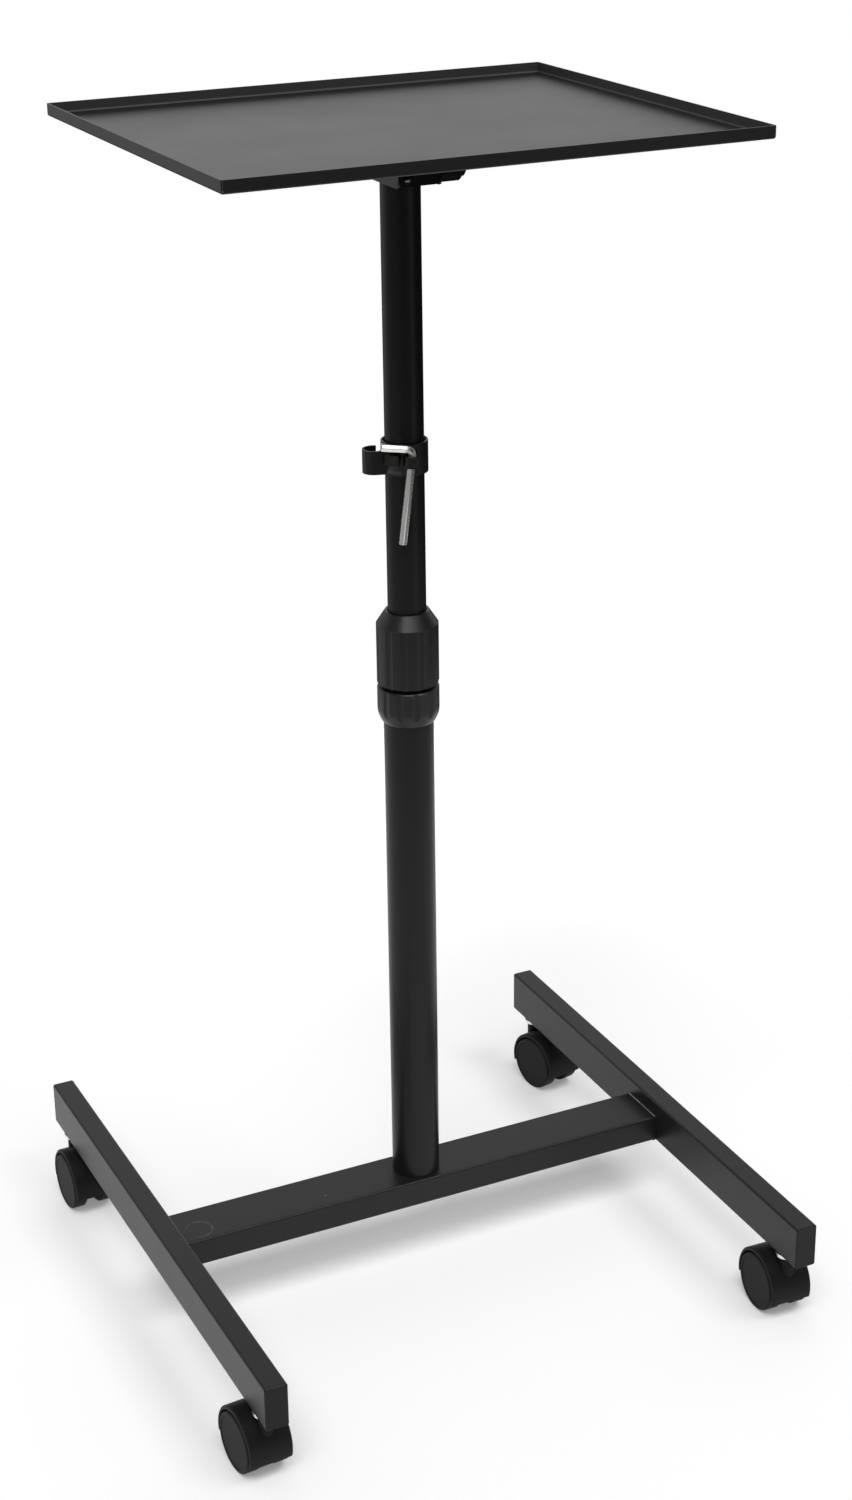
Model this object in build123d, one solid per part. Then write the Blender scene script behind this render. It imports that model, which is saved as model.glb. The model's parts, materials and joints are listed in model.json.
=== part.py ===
from build123d import *
import math
import os

# Portable projector stand on four casters.
# Millimetres, +Z up. The origin is on the floor under the pole, X runs across
# the stand along the cross beam and Y runs along the two side rails.

# Casters
caster_height = 64.0
wheel_radius = 26.0
wheel_width = 13.5
wheel_edge = 1.6
wheel_dish_depth = 0.5
wheel_dish_rim = 1.5
wheel_face_wall = 3.0
wheel_face_proud = 1.0
wheel_bore_clearance = 0.25
caster_trail = 19.0
caster_swivels = {"front_left": 4.5, "front_right": -2.0, "back_left": 2.0, "back_right": 11.0}
axle_radius = 3.0
axle_end_clearance = 0.5
hood_gap = 1.6
hood_wall = 3.0
hood_edge = 1.2
hood_web_width = 12.0
hood_web_gap = 0.5
hood_open_angle = -11.0
hood_low_angle = 195.0
hood_cut_steps = 4
hub_radius = 7.0
boss_radius = 7.3
boss_gap = 4.0
stem_radius = 4.0
stem_flange_radius = 10.0
stem_flange_thickness = 3.0
stem_depth = 28.0
stem_thread_length = 9.0
stem_clearance = 0.3

# Side rails and their end caps
rail_length = 525.0
rail_width = 20.0
rail_height = 40.0
rail_wall = 1.2
rail_corner = 2.0
rail_spacing = 492.0
stem_inset = 28.0
stem_hole_clearance = 0.2
cap_thickness = 2.0
cap_edge = 0.7
cap_plug_depth = 12.0
cap_plug_wall = 1.6
cap_plug_clearance = 0.2

# Cross beam
beam_depth = 50.0
beam_height = 25.0
beam_wall = 1.5
beam_corner = 2.0
end_plate_thickness = 2.0
end_plate_proud = 0.5

# Telescopic pole
lower_tube_radius = 21.0
lower_tube_length = 499.0
upper_tube_radius = 16.0
upper_tube_length = 610.0
tube_wall = 1.5
pivot_to_tube_top = 10.0
bush_height = 35.0
bush_lip = 5.0
bush_clearance = 0.3
plug_depth = 25.0
plug_flange = 2.0
plug_edge = 1.0
plug_clearance = 0.3

# Twist lock collar
collar_radius = 26.0
collar_chamfer = 1.0
ring_height = 31.0
ring_taper_height = 12.5
ring_lip = 0.9
ring_clearance = 0.15
collar_gap = 3.0
sleeve_height = 63.5
sleeve_cone_height = 11.5
sleeve_mouth_wall = 2.0
sleeve_tube_overlap = 28.0
sleeve_clearance = 0.3
sleeve_mouth_clearance = 0.5
sleeve_shoulder = 12.0
collet_height = 16.0
collet_foot = 2.0
collet_top_wall = 1.0
flute_count = 12
flute_radius = 9.0
flute_depth = 0.8
ring_flute_turn = 19.6
sleeve_flute_turn = 28.6

# Tray, bracket and tilt pivot
tray_bottom = 1015.0
tray_width = 440.0
tray_depth = 375.0
tray_lip = 10.0
tray_sheet = 1.2
tray_bend = 2.0
tray_corner = 1.6
bracket_sheet = 1.5
bracket_side_clearance = 1.0
bracket_drop = 40.0
bracket_front = 36.0
bracket_back = 46.0
bracket_back_corner = 12.0
bracket_front_corner = 4.0
bracket_bend = 2.5
lip_drop = 38.5
lip_corner = 7.0
pivot_drop = 25.0
bolt_radius = 4.0
bolt_clearance = 0.3
bolt_head_radius = 9.0
bolt_head_height = 4.0
bolt_head_round = 3.2
bolt_collar_radius = 6.0
bolt_collar_length = 6.5
knob_radius = 19.6
knob_length = 21.5
knob_hub_radius = 8.0
knob_hub_length = 3.0
knob_edge = 1.5
knob_bore_clearance = 0.15
knob_end_wall = 4.0
knob_scallop_count = 6
knob_scallop_radius = 7.0
knob_scallop_depth = 2.5

# Key clip and hex key
clip_height = 26.0
clip_above_sleeve = 119.0
clip_wall = 3.0
clip_edge = 0.4
clip_clearance = 0.2
clip_turn = -16.0
hook_height = 19.5
hook_radius = 9.5
hook_reach = 25.0
hook_tip_angle = 70.0
hook_root_angle = -78.0
key_size = 6.0
key_long_arm = 79.0
key_short_arm = 26.0
key_bend_radius = 6.0
key_lean = 7.0
key_side = 2.5
key_stand_off = 5.0
key_socket_size = 10.5
key_socket_round = 2.4
key_socket_height = 9.0
key_socket_drop = 8.0
key_clearance = 0.25
spare_socket_width = 13.5
spare_socket_round = 1.5
spare_socket_turn = -38.0

# Levels and places that follow from the sizes above
rail_bottom = caster_height
rail_x = rail_spacing / 2
stem_y = rail_length / 2 - stem_inset
beam_length = rail_spacing - rail_width
beam_top = rail_bottom + beam_height
lower_tube_top = beam_top + lower_tube_length
sleeve_bottom = lower_tube_top - sleeve_tube_overlap
sleeve_top = sleeve_bottom + sleeve_height
ring_top = sleeve_bottom - collar_gap
ring_bottom = ring_top - ring_height
lower_bore = lower_tube_radius - tube_wall
upper_bore = upper_tube_radius - tube_wall
pivot_z = tray_bottom - pivot_drop
upper_tube_top = pivot_z + pivot_to_tube_top
upper_tube_bottom = upper_tube_top - upper_tube_length
flange_inner = upper_tube_radius + bracket_side_clearance
flange_outer = flange_inner + bracket_sheet
clip_bottom = sleeve_top + clip_above_sleeve
clip_radius = upper_tube_radius + clip_clearance + clip_wall
hood_inner = wheel_radius + hood_gap
hood_radius = hood_inner + hood_wall
wheel_inner = hood_web_width / 2 + hood_web_gap
wheel_outer = wheel_inner + wheel_width
hood_half_width = wheel_outer - wheel_face_proud
boss_top = caster_height - stem_flange_thickness - boss_gap - wheel_radius
key_corner_radius = key_size / math.sqrt(3)
key_bend_z = clip_bottom + clip_height - key_socket_drop
grip_start = flange_outer + bolt_collar_length + knob_hub_length
grip_end = grip_start + knob_length


def tube(outer, inner, bottom, top):
    """A round tube about the Z axis."""
    ring = Circle(outer) - Circle(inner)
    return Pos(0, 0, bottom) * extrude(ring, amount=top - bottom)


def box_section(width, height, wall, corner):
    """The section of a rectangular steel tube with rounded corners."""
    outer = RectangleRounded(width, height, corner)
    inner = RectangleRounded(width - 2 * wall, height - 2 * wall, corner - wall / 2)
    return outer - inner


def turned(points):
    """A solid of revolution about Z from (radius, height) points."""
    outline = Plane.XZ * make_face(Polyline(*points, close=True))
    return revolve(outline, Axis.Z)


def cross_rod(radius, start, end):
    """A round rod along X from start to end."""
    return Pos(start, 0, 0) * extrude(Plane.YZ * Circle(radius), amount=end - start)


def rail():
    """One side rail about its own centre, with a stem hole near each end."""
    length = rail_length - 2 * cap_thickness
    section = Plane.XZ * box_section(rail_width, rail_height, rail_wall, rail_corner)
    body = extrude(section, amount=length / 2, both=True)
    for end in (-1, 1):
        hole = Cylinder(stem_radius + stem_hole_clearance, 2 * rail_wall)
        body -= Pos(0, end * stem_y, -rail_height / 2 + rail_wall / 2) * hole
    return body


def rail_cap():
    """A moulded cap for a rail's front end: a plate and the plug behind it."""
    outline = RectangleRounded(rail_width, rail_height, rail_corner)
    plate = extrude(Plane.XZ * outline, amount=cap_thickness)
    plate = chamfer(plate.faces().sort_by(Axis.Y)[0].edges(), cap_edge)
    plug_width = rail_width - 2 * (rail_wall + cap_plug_clearance)
    plug_height = rail_height - 2 * (rail_wall + cap_plug_clearance)
    section = Plane.XZ * box_section(plug_width, plug_height, cap_plug_wall, rail_corner)
    return plate + extrude(section, amount=-cap_plug_depth)


def hood_opening():
    """The wedge that cuts the hood's shell open round the bottom of the wheels."""
    far = 2 * hood_radius
    span = 360 - (hood_low_angle - hood_open_angle)
    points = [(0, 0)]
    for step in range(hood_cut_steps + 1):
        turn = math.radians(hood_open_angle - span * step / hood_cut_steps)
        points.append((far * math.cos(turn), far * math.sin(turn)))
    return make_face(Polyline(*points, close=True))


def caster_hood():
    """The hood of one caster about its axle: shell, middle web, hub and boss."""
    opening = hood_opening()
    shell = Circle(hood_radius) - Circle(hood_inner) - opening
    body = extrude(Plane.YZ * shell, amount=hood_half_width, both=True)
    arcs = body.edges().filter_by(GeomType.CIRCLE)
    body = chamfer([arc for arc in arcs if arc.radius > hood_inner + hood_wall / 2], hood_edge)
    web = Circle(hood_inner + hood_wall / 2) - opening
    web += Circle(hub_radius)
    body += extrude(Plane.YZ * web, amount=hood_web_width / 2, both=True)
    boss = Cylinder(boss_radius, boss_top, align=(Align.CENTER, Align.CENTER, Align.MIN))
    inside = extrude(Plane.YZ * Circle(hood_inner), amount=hood_half_width, both=True)
    body += Pos(0, -caster_trail, 0) * boss - inside
    socket_depth = stem_depth - stem_flange_thickness - boss_gap + stem_clearance
    socket = Cylinder(
        stem_radius + stem_clearance, socket_depth, align=(Align.CENTER, Align.CENTER, Align.MAX)
    )
    body -= Pos(0, -caster_trail, boss_top) * socket
    body -= cross_rod(axle_radius, -hood_web_width, hood_web_width)
    return body


def caster_wheel():
    """One wheel about its axle, with its closed face towards +X."""
    bore = axle_radius + wheel_bore_clearance
    bore_end = wheel_outer - wheel_face_wall
    shoulder = wheel_edge * (1 - math.sqrt(0.5))
    dish_edge = wheel_radius - wheel_edge - wheel_dish_rim
    profile = Polyline(
        (wheel_inner, bore),
        (wheel_inner, wheel_radius - wheel_edge),
        (wheel_inner + wheel_edge, wheel_radius),
        (wheel_outer - wheel_edge, wheel_radius),
        (wheel_outer - shoulder, wheel_radius - shoulder),
        (wheel_outer, wheel_radius - wheel_edge),
        (wheel_outer, dish_edge),
        (wheel_outer - wheel_dish_depth, dish_edge - wheel_dish_depth),
        (wheel_outer - wheel_dish_depth, 0),
        (bore_end, 0),
        (bore_end, bore),
        close=True,
    )
    return revolve(make_face(profile), Axis.X)


def caster_stem():
    """A threaded stem hung from the rail, about the rail's underside."""
    flange = Cylinder(
        stem_flange_radius, stem_flange_thickness, align=(Align.CENTER, Align.CENTER, Align.MAX)
    )
    shank = Cylinder(
        stem_radius, stem_depth + stem_thread_length, align=(Align.CENTER, Align.CENTER, Align.MIN)
    )
    return flange + Pos(0, 0, -stem_depth) * shank


def grip_flutes(bottom, top, turn):
    """The cutters for the shallow grip flutes round the collar."""
    centre = collar_radius + flute_radius - flute_depth
    cutter = Pos(centre, 0, bottom) * Cylinder(
        flute_radius, top - bottom, align=(Align.CENTER, Align.CENTER, Align.MIN)
    )
    pitch = 360 / flute_count
    return [Rot(0, 0, turn + pitch * index) * cutter for index in range(flute_count)]


def lock_ring():
    """The lower collar ring, fixed on the lower tube and rounded in below."""
    bore = lower_tube_radius + ring_clearance
    taper_top = (collar_radius, ring_bottom + ring_taper_height)
    taper_foot = (bore + ring_lip, ring_bottom)
    outline = TangentArc(taper_top, taper_foot, tangent=(0, -1))
    outline += Polyline(
        taper_foot,
        (bore, ring_bottom),
        (bore, ring_top),
        (collar_radius - collar_chamfer, ring_top),
        (collar_radius, ring_top - collar_chamfer),
        taper_top,
    )
    body = revolve(Plane.XZ * make_face(outline), Axis.Z)
    return body - grip_flutes(ring_bottom, ring_top, ring_flute_turn)


def lock_sleeve():
    """The upper collar sleeve that is twisted to clamp the upper tube."""
    bore = lower_tube_radius + sleeve_clearance
    mouth = upper_tube_radius + sleeve_mouth_clearance
    cone_bottom = sleeve_top - sleeve_cone_height
    body = turned(
        [
            (bore, sleeve_bottom),
            (collar_radius - collar_chamfer, sleeve_bottom),
            (collar_radius, sleeve_bottom + collar_chamfer),
            (collar_radius, cone_bottom),
            (mouth + sleeve_mouth_wall, sleeve_top),
            (mouth, sleeve_top),
            (mouth, sleeve_top - sleeve_shoulder),
            (bore, lower_tube_top + collet_foot),
        ]
    )
    return body - grip_flutes(sleeve_bottom, cone_bottom - collar_chamfer, sleeve_flute_turn)


def collet():
    """The tapered clamping ring on the lower tube's upper end."""
    bore = upper_tube_radius + bush_clearance
    return turned(
        [
            (bore, lower_tube_top),
            (lower_tube_radius - sleeve_clearance, lower_tube_top),
            (lower_tube_radius - sleeve_clearance, lower_tube_top + collet_foot / 2),
            (bore + collet_top_wall, lower_tube_top + collet_height),
            (bore, lower_tube_top + collet_height),
        ]
    )


def guide_bush():
    """The sliding bush under the upper tube, with the lip that carries it."""
    outer = lower_bore - bush_clearance
    inner = upper_tube_radius + bush_clearance
    wall = tube(outer, inner, upper_tube_bottom, upper_tube_bottom + bush_height)
    return wall + tube(outer, upper_bore, upper_tube_bottom - bush_lip, upper_tube_bottom)


def upper_tube():
    body = tube(upper_tube_radius, upper_bore, upper_tube_bottom, upper_tube_top)
    hole = cross_rod(bolt_radius + bolt_clearance, -2 * upper_tube_radius, 2 * upper_tube_radius)
    return body - Pos(0, 0, pivot_z) * hole


def tube_plug():
    """The plug that closes the upper tube and backs the pivot bolt."""
    plug = Cylinder(
        upper_bore - plug_clearance, plug_depth, align=(Align.CENTER, Align.CENTER, Align.MAX)
    )
    flange = Cylinder(
        upper_tube_radius, plug_flange, align=(Align.CENTER, Align.CENTER, Align.MIN)
    )
    flange = chamfer(flange.faces().sort_by(Axis.Z)[-1].edges(), plug_edge)
    hole = cross_rod(bolt_radius + bolt_clearance, -2 * upper_tube_radius, 2 * upper_tube_radius)
    return Pos(0, 0, upper_tube_top) * (plug + flange) - Pos(0, 0, pivot_z) * hole


def tray():
    """The folded steel tray."""
    place = Pos(0, 0, tray_bottom)
    outer = extrude(RectangleRounded(tray_width, tray_depth, tray_corner), amount=tray_lip)
    outer = fillet(outer.faces().sort_by(Axis.Z)[0].edges(), tray_bend)
    inner_width = tray_width - 2 * tray_sheet
    inner_depth = tray_depth - 2 * tray_sheet
    inner = extrude(
        RectangleRounded(inner_width, inner_depth, tray_corner - tray_sheet / 2), amount=tray_lip
    )
    return place * (outer - Pos(0, 0, tray_sheet) * inner)


def tray_bracket():
    """The folded bracket under the tray: two side flanges and a shorter front lip."""
    length = bracket_front + bracket_back
    middle = (bracket_back - bracket_front) / 2
    width = 2 * flange_outer
    body = Pos(0, middle, tray_bottom - bracket_drop / 2) * Box(width, length, bracket_drop)
    body = fillet(body.edges().filter_by(Axis.Y).group_by(Axis.Z)[-1], bracket_bend)
    slot = Box(2 * flange_inner, 2 * length, bracket_drop)
    body -= Pos(0, middle, tray_bottom - bracket_sheet - bracket_drop / 2) * slot
    corners = body.edges().filter_by(Axis.X).group_by(Axis.Z)[0].group_by(Axis.Y)
    body = fillet(corners[-1], bracket_back_corner)
    corners = body.edges().filter_by(Axis.X).group_by(Axis.Z)[0].group_by(Axis.Y)
    body = fillet(corners[0], bracket_front_corner)
    lip = Box(width, bracket_sheet, lip_drop)
    lip = Pos(0, -bracket_front - bracket_sheet / 2, tray_bottom - lip_drop / 2) * lip
    lip = fillet(lip.edges().filter_by(Axis.Y).group_by(Axis.Z)[-1], bracket_bend)
    lip = fillet(lip.edges().filter_by(Axis.Y).group_by(Axis.Z)[0], lip_corner)
    hole = cross_rod(bolt_radius + bolt_clearance / 2, -width, width)
    return body + lip - Pos(0, 0, pivot_z) * hole


def pivot_bolt():
    """The bolt across the bracket: round head on the left, collar on the right."""
    head = cross_rod(bolt_head_radius, -flange_outer - bolt_head_height, -flange_outer)
    head = fillet(head.faces().sort_by(Axis.X)[0].edges(), bolt_head_round)
    shank = cross_rod(bolt_radius, -flange_outer, grip_end - knob_end_wall)
    collar = cross_rod(bolt_collar_radius, flange_outer, flange_outer + bolt_collar_length)
    return Pos(0, 0, pivot_z) * (head + shank + collar)


def tilt_knob():
    """The scalloped hand knob that clamps the tilt, on the right."""
    start = grip_start - knob_hub_length
    grip = cross_rod(knob_radius, grip_start, grip_end)
    grip = chamfer(grip.edges(), knob_edge)
    scallop = cross_rod(knob_scallop_radius, grip_start, grip_end)
    reach = knob_radius + knob_scallop_radius - knob_scallop_depth
    for index in range(knob_scallop_count):
        turn = 360 * (index + 0.5) / knob_scallop_count
        grip -= Rot(turn, 0, 0) * Pos(0, 0, reach) * scallop
    body = grip + cross_rod(knob_hub_radius, start, grip_start)
    body -= cross_rod(bolt_radius + knob_bore_clearance, start, grip_end - knob_end_wall)
    return Pos(0, 0, pivot_z) * body


def key_frame():
    """The place of the key's bend: in front of the clip ring, leaning."""
    return Pos(key_side, -clip_radius - key_stand_off, key_bend_z) * Rot(0, key_lean, 0)


def hook_plan():
    """The cable hook seen from above: a broken ring and its root arm."""
    ring = Circle(hook_radius) - Circle(hook_radius - clip_wall)
    far = 2 * hook_radius
    tip = math.radians(hook_tip_angle)
    root = math.radians(hook_root_angle)
    mouth = Polyline(
        (0, 0),
        (far * math.cos(root), far * math.sin(root)),
        (far, 0),
        (far * math.cos(tip), far * math.sin(tip)),
        close=True,
    )
    arm = Pos(hook_reach / 2, clip_wall / 2 - hook_radius) * Rectangle(hook_reach, clip_wall)
    return Pos(-hook_reach, 0) * (ring - make_face(mouth) + arm)


def key_sockets():
    """The socket that holds the key and the spare one beside it."""
    socket = Box(
        key_socket_size,
        clip_wall + key_stand_off + key_socket_size / 2,
        key_socket_height,
        align=(Align.CENTER, Align.MIN, Align.MAX),
    )
    front = socket.faces().sort_by(Axis.Y)[0].edges().filter_by(Axis.Z)
    socket = key_frame() * Pos(0, -key_socket_size / 2, 0) * fillet(front, key_socket_round)
    spare = Box(
        spare_socket_width,
        2 * clip_wall,
        key_socket_height,
        align=(Align.CENTER, Align.CENTER, Align.MAX),
    )
    spare = fillet(spare.edges().filter_by(Axis.Z), spare_socket_round)
    return socket + Rot(0, 0, spare_socket_turn) * Pos(0, -clip_radius, key_bend_z) * spare


def key_clip():
    """The clip ring on the upper tube, with its cable hook and key sockets."""
    bore = Circle(upper_tube_radius + clip_clearance)
    ring = extrude(Circle(clip_radius) - bore, amount=clip_height)
    ring = chamfer(ring.edges().group_by(Axis.Z)[-1].sort_by(SortBy.LENGTH)[-1], clip_edge)
    hook = extrude(hook_plan() - Circle(clip_radius - clip_wall / 2), amount=hook_height)
    body = Pos(0, 0, clip_bottom) * (ring + hook)
    inside = Cylinder(clip_radius - clip_wall / 2, clip_height, align=(Align.CENTER, Align.CENTER, Align.MIN))
    body += key_sockets() - Pos(0, 0, clip_bottom) * inside
    body -= key_frame() * Cylinder(key_corner_radius + key_clearance, 2 * clip_height)
    return Rot(0, 0, clip_turn) * body


def hex_key():
    """The bent hex key in its socket, short arm over the clip."""
    rise = key_bend_radius
    path = FilletPolyline(
        (-key_short_arm, 0, rise),
        (0, 0, rise),
        (0, 0, rise - key_long_arm),
        radius=key_bend_radius,
    )
    start = Plane(origin=(-key_short_arm, 0, rise), z_dir=(1, 0, 0))
    body = sweep(start * RegularPolygon(key_corner_radius, 6), path=path)
    return Rot(0, 0, clip_turn) * key_frame() * body


def save(node, solid):
    solid.label = node
    export_step(solid, os.path.join("parts", node + ".step"))


def save_base():
    middle = rail_bottom + rail_height / 2
    beam_middle = rail_bottom + beam_height / 2
    end_y = rail_length / 2 - cap_thickness
    for side, name in ((-1, "left"), (1, "right")):
        save(name + "_rail", Pos(side * rail_x, 0, middle) * rail())
        save(name + "_front_cap", Pos(side * rail_x, -end_y, middle) * rail_cap())
        save(name + "_back_cap", Pos(side * rail_x, end_y, middle) * Rot(0, 0, 180) * rail_cap())
        plate_depth = beam_depth + 2 * end_plate_proud
        plate_height = beam_height + 2 * end_plate_proud
        plate = Plane.YZ * RectangleRounded(plate_depth, plate_height, beam_corner)
        plate = extrude(plate, amount=-side * end_plate_thickness)
        save(name + "_end_plate", Pos(side * beam_length / 2, 0, beam_middle) * plate)
    section = Plane.YZ * box_section(beam_depth, beam_height, beam_wall, beam_corner)
    beam = extrude(section, amount=beam_length / 2 - end_plate_thickness, both=True)
    save("cross_beam", Pos(0, 0, beam_middle) * beam)


def save_casters():
    reach = wheel_outer - wheel_face_wall - axle_end_clearance
    for side, side_name in ((-1, "left"), (1, "right")):
        for end, end_name in ((-1, "front"), (1, "back")):
            place = end_name + "_" + side_name
            name = place + "_caster"
            stem = Pos(side * rail_x, end * stem_y, 0)
            inwards = 90 + 90 * end
            swivel = Rot(0, 0, inwards + caster_swivels[place])
            axle = stem * swivel * Pos(0, caster_trail, wheel_radius)
            save(name + "_stem", stem * Pos(0, 0, rail_bottom) * caster_stem())
            save(name + "_hood", axle * caster_hood())
            save(name + "_axle", axle * cross_rod(axle_radius, -reach, reach))
            save(name + "_wheel_right", axle * Rot(0, 0, inwards) * caster_wheel())
            save(name + "_wheel_left", axle * Rot(0, 0, inwards + 180) * caster_wheel())


def save_pole():
    save("lower_tube", tube(lower_tube_radius, lower_bore, beam_top, lower_tube_top))
    save("lock_ring", lock_ring())
    save("lock_sleeve", lock_sleeve())
    save("collet", collet())
    save("guide_bush", guide_bush())
    save("upper_tube", upper_tube())
    save("tube_plug", tube_plug())
    save("key_clip", key_clip())
    save("hex_key", hex_key())


def save_top():
    save("tray", tray())
    save("tray_bracket", tray_bracket())
    save("pivot_bolt", pivot_bolt())
    save("tilt_knob", tilt_knob())


os.makedirs("parts", exist_ok=True)
save_base()
save_casters()
save_pole()
save_top()
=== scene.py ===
# %% [markdown]
# # A projector stand on wheels
# The stand is a small rolling table: two steel rails on casters, a cross beam, a telescopic pole
# with a twist lock, and a shallow tray that tilts. The solid model gives every piece its size and
# place, so it is loaded first as a fixed frame. Blender then adds the finish of each surface and
# the fine detail that the solid model leaves out. Nothing in the frame is moved or resized.

# %% Load the frame
import json
import math

import bpy
from mathutils import Matrix, Vector


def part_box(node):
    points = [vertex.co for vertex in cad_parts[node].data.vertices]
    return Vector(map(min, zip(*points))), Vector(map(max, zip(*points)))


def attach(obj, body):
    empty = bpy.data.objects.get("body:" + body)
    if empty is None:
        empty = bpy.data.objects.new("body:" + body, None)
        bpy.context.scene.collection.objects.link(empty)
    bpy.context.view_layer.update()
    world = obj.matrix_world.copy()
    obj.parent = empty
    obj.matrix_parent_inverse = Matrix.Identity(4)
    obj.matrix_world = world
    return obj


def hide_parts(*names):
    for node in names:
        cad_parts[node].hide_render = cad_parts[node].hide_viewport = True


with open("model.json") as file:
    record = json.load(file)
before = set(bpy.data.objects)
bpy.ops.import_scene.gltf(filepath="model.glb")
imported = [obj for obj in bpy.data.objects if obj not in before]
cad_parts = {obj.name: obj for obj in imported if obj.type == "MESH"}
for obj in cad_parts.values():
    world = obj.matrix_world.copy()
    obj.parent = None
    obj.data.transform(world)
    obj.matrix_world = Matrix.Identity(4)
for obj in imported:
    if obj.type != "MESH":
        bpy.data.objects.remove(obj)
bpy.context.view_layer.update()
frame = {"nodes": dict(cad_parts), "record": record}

# %% [markdown]
# ## The camera
# A product picture is taken from a fixed place, so the camera is described the way a photographer
# would: where the tripod stands, how far the camera is turned and tipped, and its focal length.
# The picture is 852 pixels wide and 1500 high, so the sensor's long side is the upright one. The
# three turns are multiplied as matrices, because a camera that is rolled a little after it was
# turned and tipped isn't easy to read from Euler angles.

# %% Place the camera
TRIPOD = Vector((-0.8481, -1.8193, 1.3473))
TURN = math.radians(25.396)
TIP = math.radians(22.957)
ROLL = math.radians(-0.773)
FOCAL_LENGTH = 62.03
SENSOR = 36.0
NEAREST = 0.05
FARTHEST = 200.0


def place_camera():
    """Adds the camera at the tripod and makes it the scene's camera."""
    bpy.ops.object.camera_add()
    camera = bpy.context.object
    camera.name = "photo_camera"
    turn = Matrix.Rotation(-TURN, 4, "Z")
    tip = Matrix.Rotation(math.pi / 2 - TIP, 4, "X")
    roll = Matrix.Rotation(ROLL, 4, "Z")
    camera.matrix_world = Matrix.Translation(TRIPOD) @ turn @ tip @ roll
    camera.data.lens = FOCAL_LENGTH
    camera.data.sensor_width = SENSOR
    camera.data.clip_start = NEAREST
    camera.data.clip_end = FARTHEST
    bpy.context.scene.camera = camera
    return camera


camera = place_camera()
print("camera at", [round(v, 3) for v in camera.matrix_world.translation])

# %% [markdown]
# ## Wires for shader maths
# Procedural finishes are sums and products of patterns. Written as nodes they are hard to read, so
# one small class wraps an output socket. Adding or multiplying two wires adds the Math node that
# does it, and every other kind of node comes from one method: its type, its settings, and the
# values or links of its sockets.


# %% The wire class
class Wire:
    """An output socket of a shader tree that can be used in a Python expression."""

    def __init__(self, tree, socket):
        self.tree = tree
        self.socket = socket

    def node(self, kind, settings, sockets, output=0):
        """Adds a node: its settings are set first, then its sockets get values or links."""
        made = self.tree.nodes.new(kind)
        for name, value in settings.items():
            setattr(made, name, value)
        for name, value in sockets.items():
            if isinstance(value, Wire):
                self.tree.links.new(value.socket, made.inputs[name])
            else:
                made.inputs[name].default_value = value
        return Wire(self.tree, made.outputs[output])

    def twin(self, output):
        """Another output of the node that this wire comes from."""
        return Wire(self.tree, self.socket.node.outputs[output])

    def maths(self, operation, *values):
        """Adds a Math node on one or two values, each a wire or a number."""
        return self.node("ShaderNodeMath", {"operation": operation}, dict(enumerate(values)))

    def most(self, other):
        return self.maths("MAXIMUM", self, other)

    def __abs__(self):
        return self.maths("ABSOLUTE", self)

    def __add__(self, other):
        return self.maths("ADD", self, other)

    def __radd__(self, other):
        return self.maths("ADD", other, self)

    def __sub__(self, other):
        return self.maths("SUBTRACT", self, other)

    def __rsub__(self, other):
        return self.maths("SUBTRACT", other, self)

    def __mul__(self, other):
        return self.maths("MULTIPLY", self, other)

    def __rmul__(self, other):
        return self.maths("MULTIPLY", other, self)

    def __pow__(self, other):
        return self.maths("POWER", self, other)


print("wire class ready")

# %% [markdown]
# ## Patterns from coordinates
# Every mask in this file asks the same three questions: where is this point, how far is it from some
# place, and how does a number fade from 0 to 1 between two limits. The answers are small functions on
# wires. A Map Range node does the fade, and because it is clamped, limits in falling order turn the
# fade round.


# %% Coordinates, distances and fades
def axes_of(place):
    """The three coordinates of a place as separate wires."""
    x = place.node("ShaderNodeSeparateXYZ", {}, {"Vector": place}, "X")
    return x, x.twin("Y"), x.twin("Z")


def distance(across, up):
    """How far a point is from a centre, from its two offsets."""
    return (across * across + up * up) ** 0.5


def rise(value, low, high):
    """A wire that goes from 0 to 1 as a value goes from low to high."""
    return value.node("ShaderNodeMapRange", {}, {"Value": value, "From Min": low, "From Max": high})


print("patterns: coordinates, distances and fades ready")

# %% [markdown]
# ## The floor
# The stand is photographed on a white sweep. The white floor does two jobs: it takes the soft shadow
# under the wheels, and it is what the black paint reflects, which is most of what makes black steel
# look like steel. It is an ordinary pale diffuse surface plus a little glow that only camera, mirror
# and glass rays see, so it reaches white in the picture and adds no light to the stand. It glows a
# little more at the back, where a sweep turns up towards the light.

# %% Lay the floor
FLOOR_RADIUS = 1.25
FLOOR_SIDES = 96
FLOOR_GREY = 0.80
FLOOR_GLOW = 0.20
BACK_GLOW = 0.14
BACK_STARTS = 0.15
BACK_FULL = 0.55


def camera_rays(wire):
    """1 for what the camera sees directly, 0 for every other ray."""
    return wire.node("ShaderNodeLightPath", {}, {}, "Is Camera Ray")


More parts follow.
